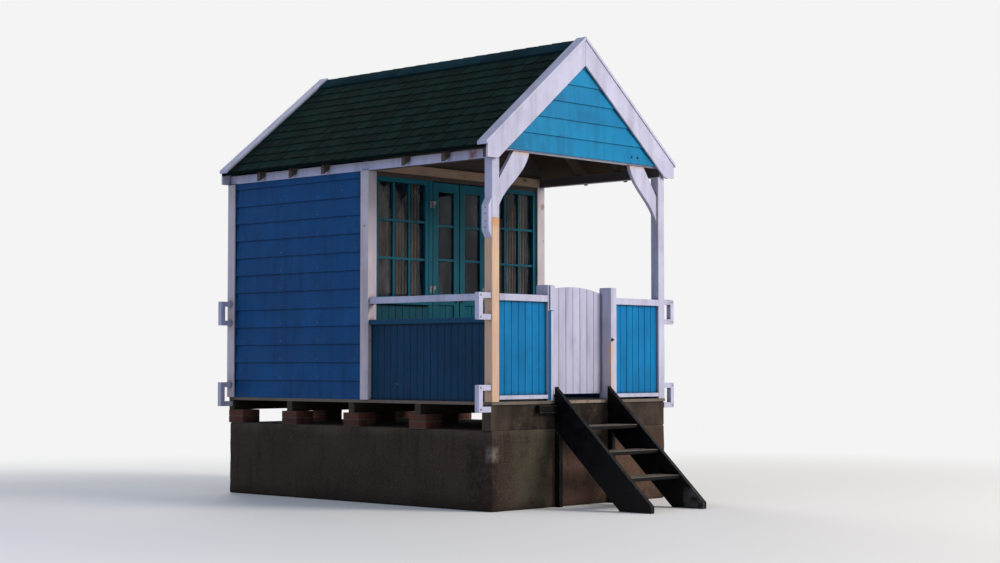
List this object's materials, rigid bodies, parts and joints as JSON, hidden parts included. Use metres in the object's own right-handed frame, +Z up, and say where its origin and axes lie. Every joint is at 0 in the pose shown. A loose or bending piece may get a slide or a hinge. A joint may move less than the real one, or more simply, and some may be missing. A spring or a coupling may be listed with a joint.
{
  "type": "beach hut",
  "caption": "Painted timber beach hut on a concrete plinth: gated veranda, glazed cabin, felted gable roof and open steps.",
  "frame": {"origin": "on the ground, under the middle of the whole footprint, steps included", "axes": "+Z up, +Y from the veranda towards the back of the hut, +X to the right seen from the front"},
  "size_m": [2.75, 4.8014, 4.3312],
  "materials": {
    "concrete": "rough cast, weathered",
    "brick": "rough",
    "dark_bearer_timber": "weathered, dark",
    "floor_boards": "weathered",
    "white_paint": "gloss paint, weathered",
    "bare_timber": "bare, new",
    "turquoise_paint": "gloss paint",
    "blue_paint": "gloss paint",
    "teal_paint": "gloss paint",
    "black_timber": "tar paint, worn",
    "rafter_timber": "bare, aged",
    "roof_felt": "mineral felt",
    "galvanised_steel": "galvanised, dull",
    "curtain_cloth": "woven cotton, faded",
    "window_glass": "clear"
  },
  "bodies": {
    "hut": {"plinth": "concrete", "front_kerb": "concrete", "brick_piers": "brick", "bearers": "dark_bearer_timber", "veranda_deck": "floor_boards", "cabin_floor": "floor_boards", "front_left_post_lower": "bare_timber", "front_left_post_upper": "white_paint", "post_splice_plate": "white_paint", "front_right_post": "white_paint", "gate_posts": "white_paint", "gate_post_cleat": "white_paint", "front_rails": "white_paint", "front_panels": "turquoise_paint", "side_rails": "white_paint", "side_panels": "blue_paint", "knee_braces": "white_paint", "wall_plates": "white_paint", "front_tie_beam": "white_paint", "front_gable_boards": "turquoise_paint", "bargeboards": "white_paint", "barge_cappings": "white_paint", "rafters": "rafter_timber", "ridge_board": "rafter_timber", "roof_right": "roof_felt", "roof_left": "roof_felt", "ridge_strip": "roof_felt", "cabin_front_gable": "blue_paint", "cabin_head_beam": "rafter_timber", "cabin_front_posts": "teal_paint", "cabin_front_aprons": "teal_paint", "cabin_side_walls": "blue_paint", "rear_wall": "blue_paint", "corner_trims": "white_paint", "window_sills": "teal_paint", "window_frames": "teal_paint", "window_glass": "window_glass", "curtain_rods": "galvanised_steel", "curtains": "curtain_cloth", "door_hinge_plates": "galvanised_steel", "gate_hinge_hooks": "galvanised_steel", "loop_arms": "white_paint", "loop_uprights": "white_paint", "step_stringers": "black_timber", "step_treads": "black_timber", "step_supports": "black_timber"},
    "gate": {"gate_boards": "white_paint", "gate_ledges": "white_paint", "gate_hinge_bands": "galvanised_steel"},
    "left_door": {"left_door_leaf": "teal_paint", "left_door_glass": "window_glass", "left_door_hinges": "galvanised_steel"},
    "right_door": {"right_door_leaf": "teal_paint", "right_door_glass": "window_glass", "right_door_hinges": "galvanised_steel"}
  },
  "joints": [
    {"name": "gate_hinge", "type": "hinge", "parent": "hut", "child": "gate", "pos_m": [-0.411, -1.11632, 1.445], "axis": [0, 0, 1], "range_deg": [0, 90]},
    {"name": "left_door_hinge", "type": "hinge", "parent": "hut", "child": "left_door", "pos_m": [-0.37, 0.29918, 2], "axis": [0, 0, -1], "range_deg": [0, 90]},
    {"name": "right_door_hinge", "type": "hinge", "parent": "hut", "child": "right_door", "pos_m": [0.37, 0.29918, 2], "axis": [0, 0, 1], "range_deg": [0, 90]}
  ]
}
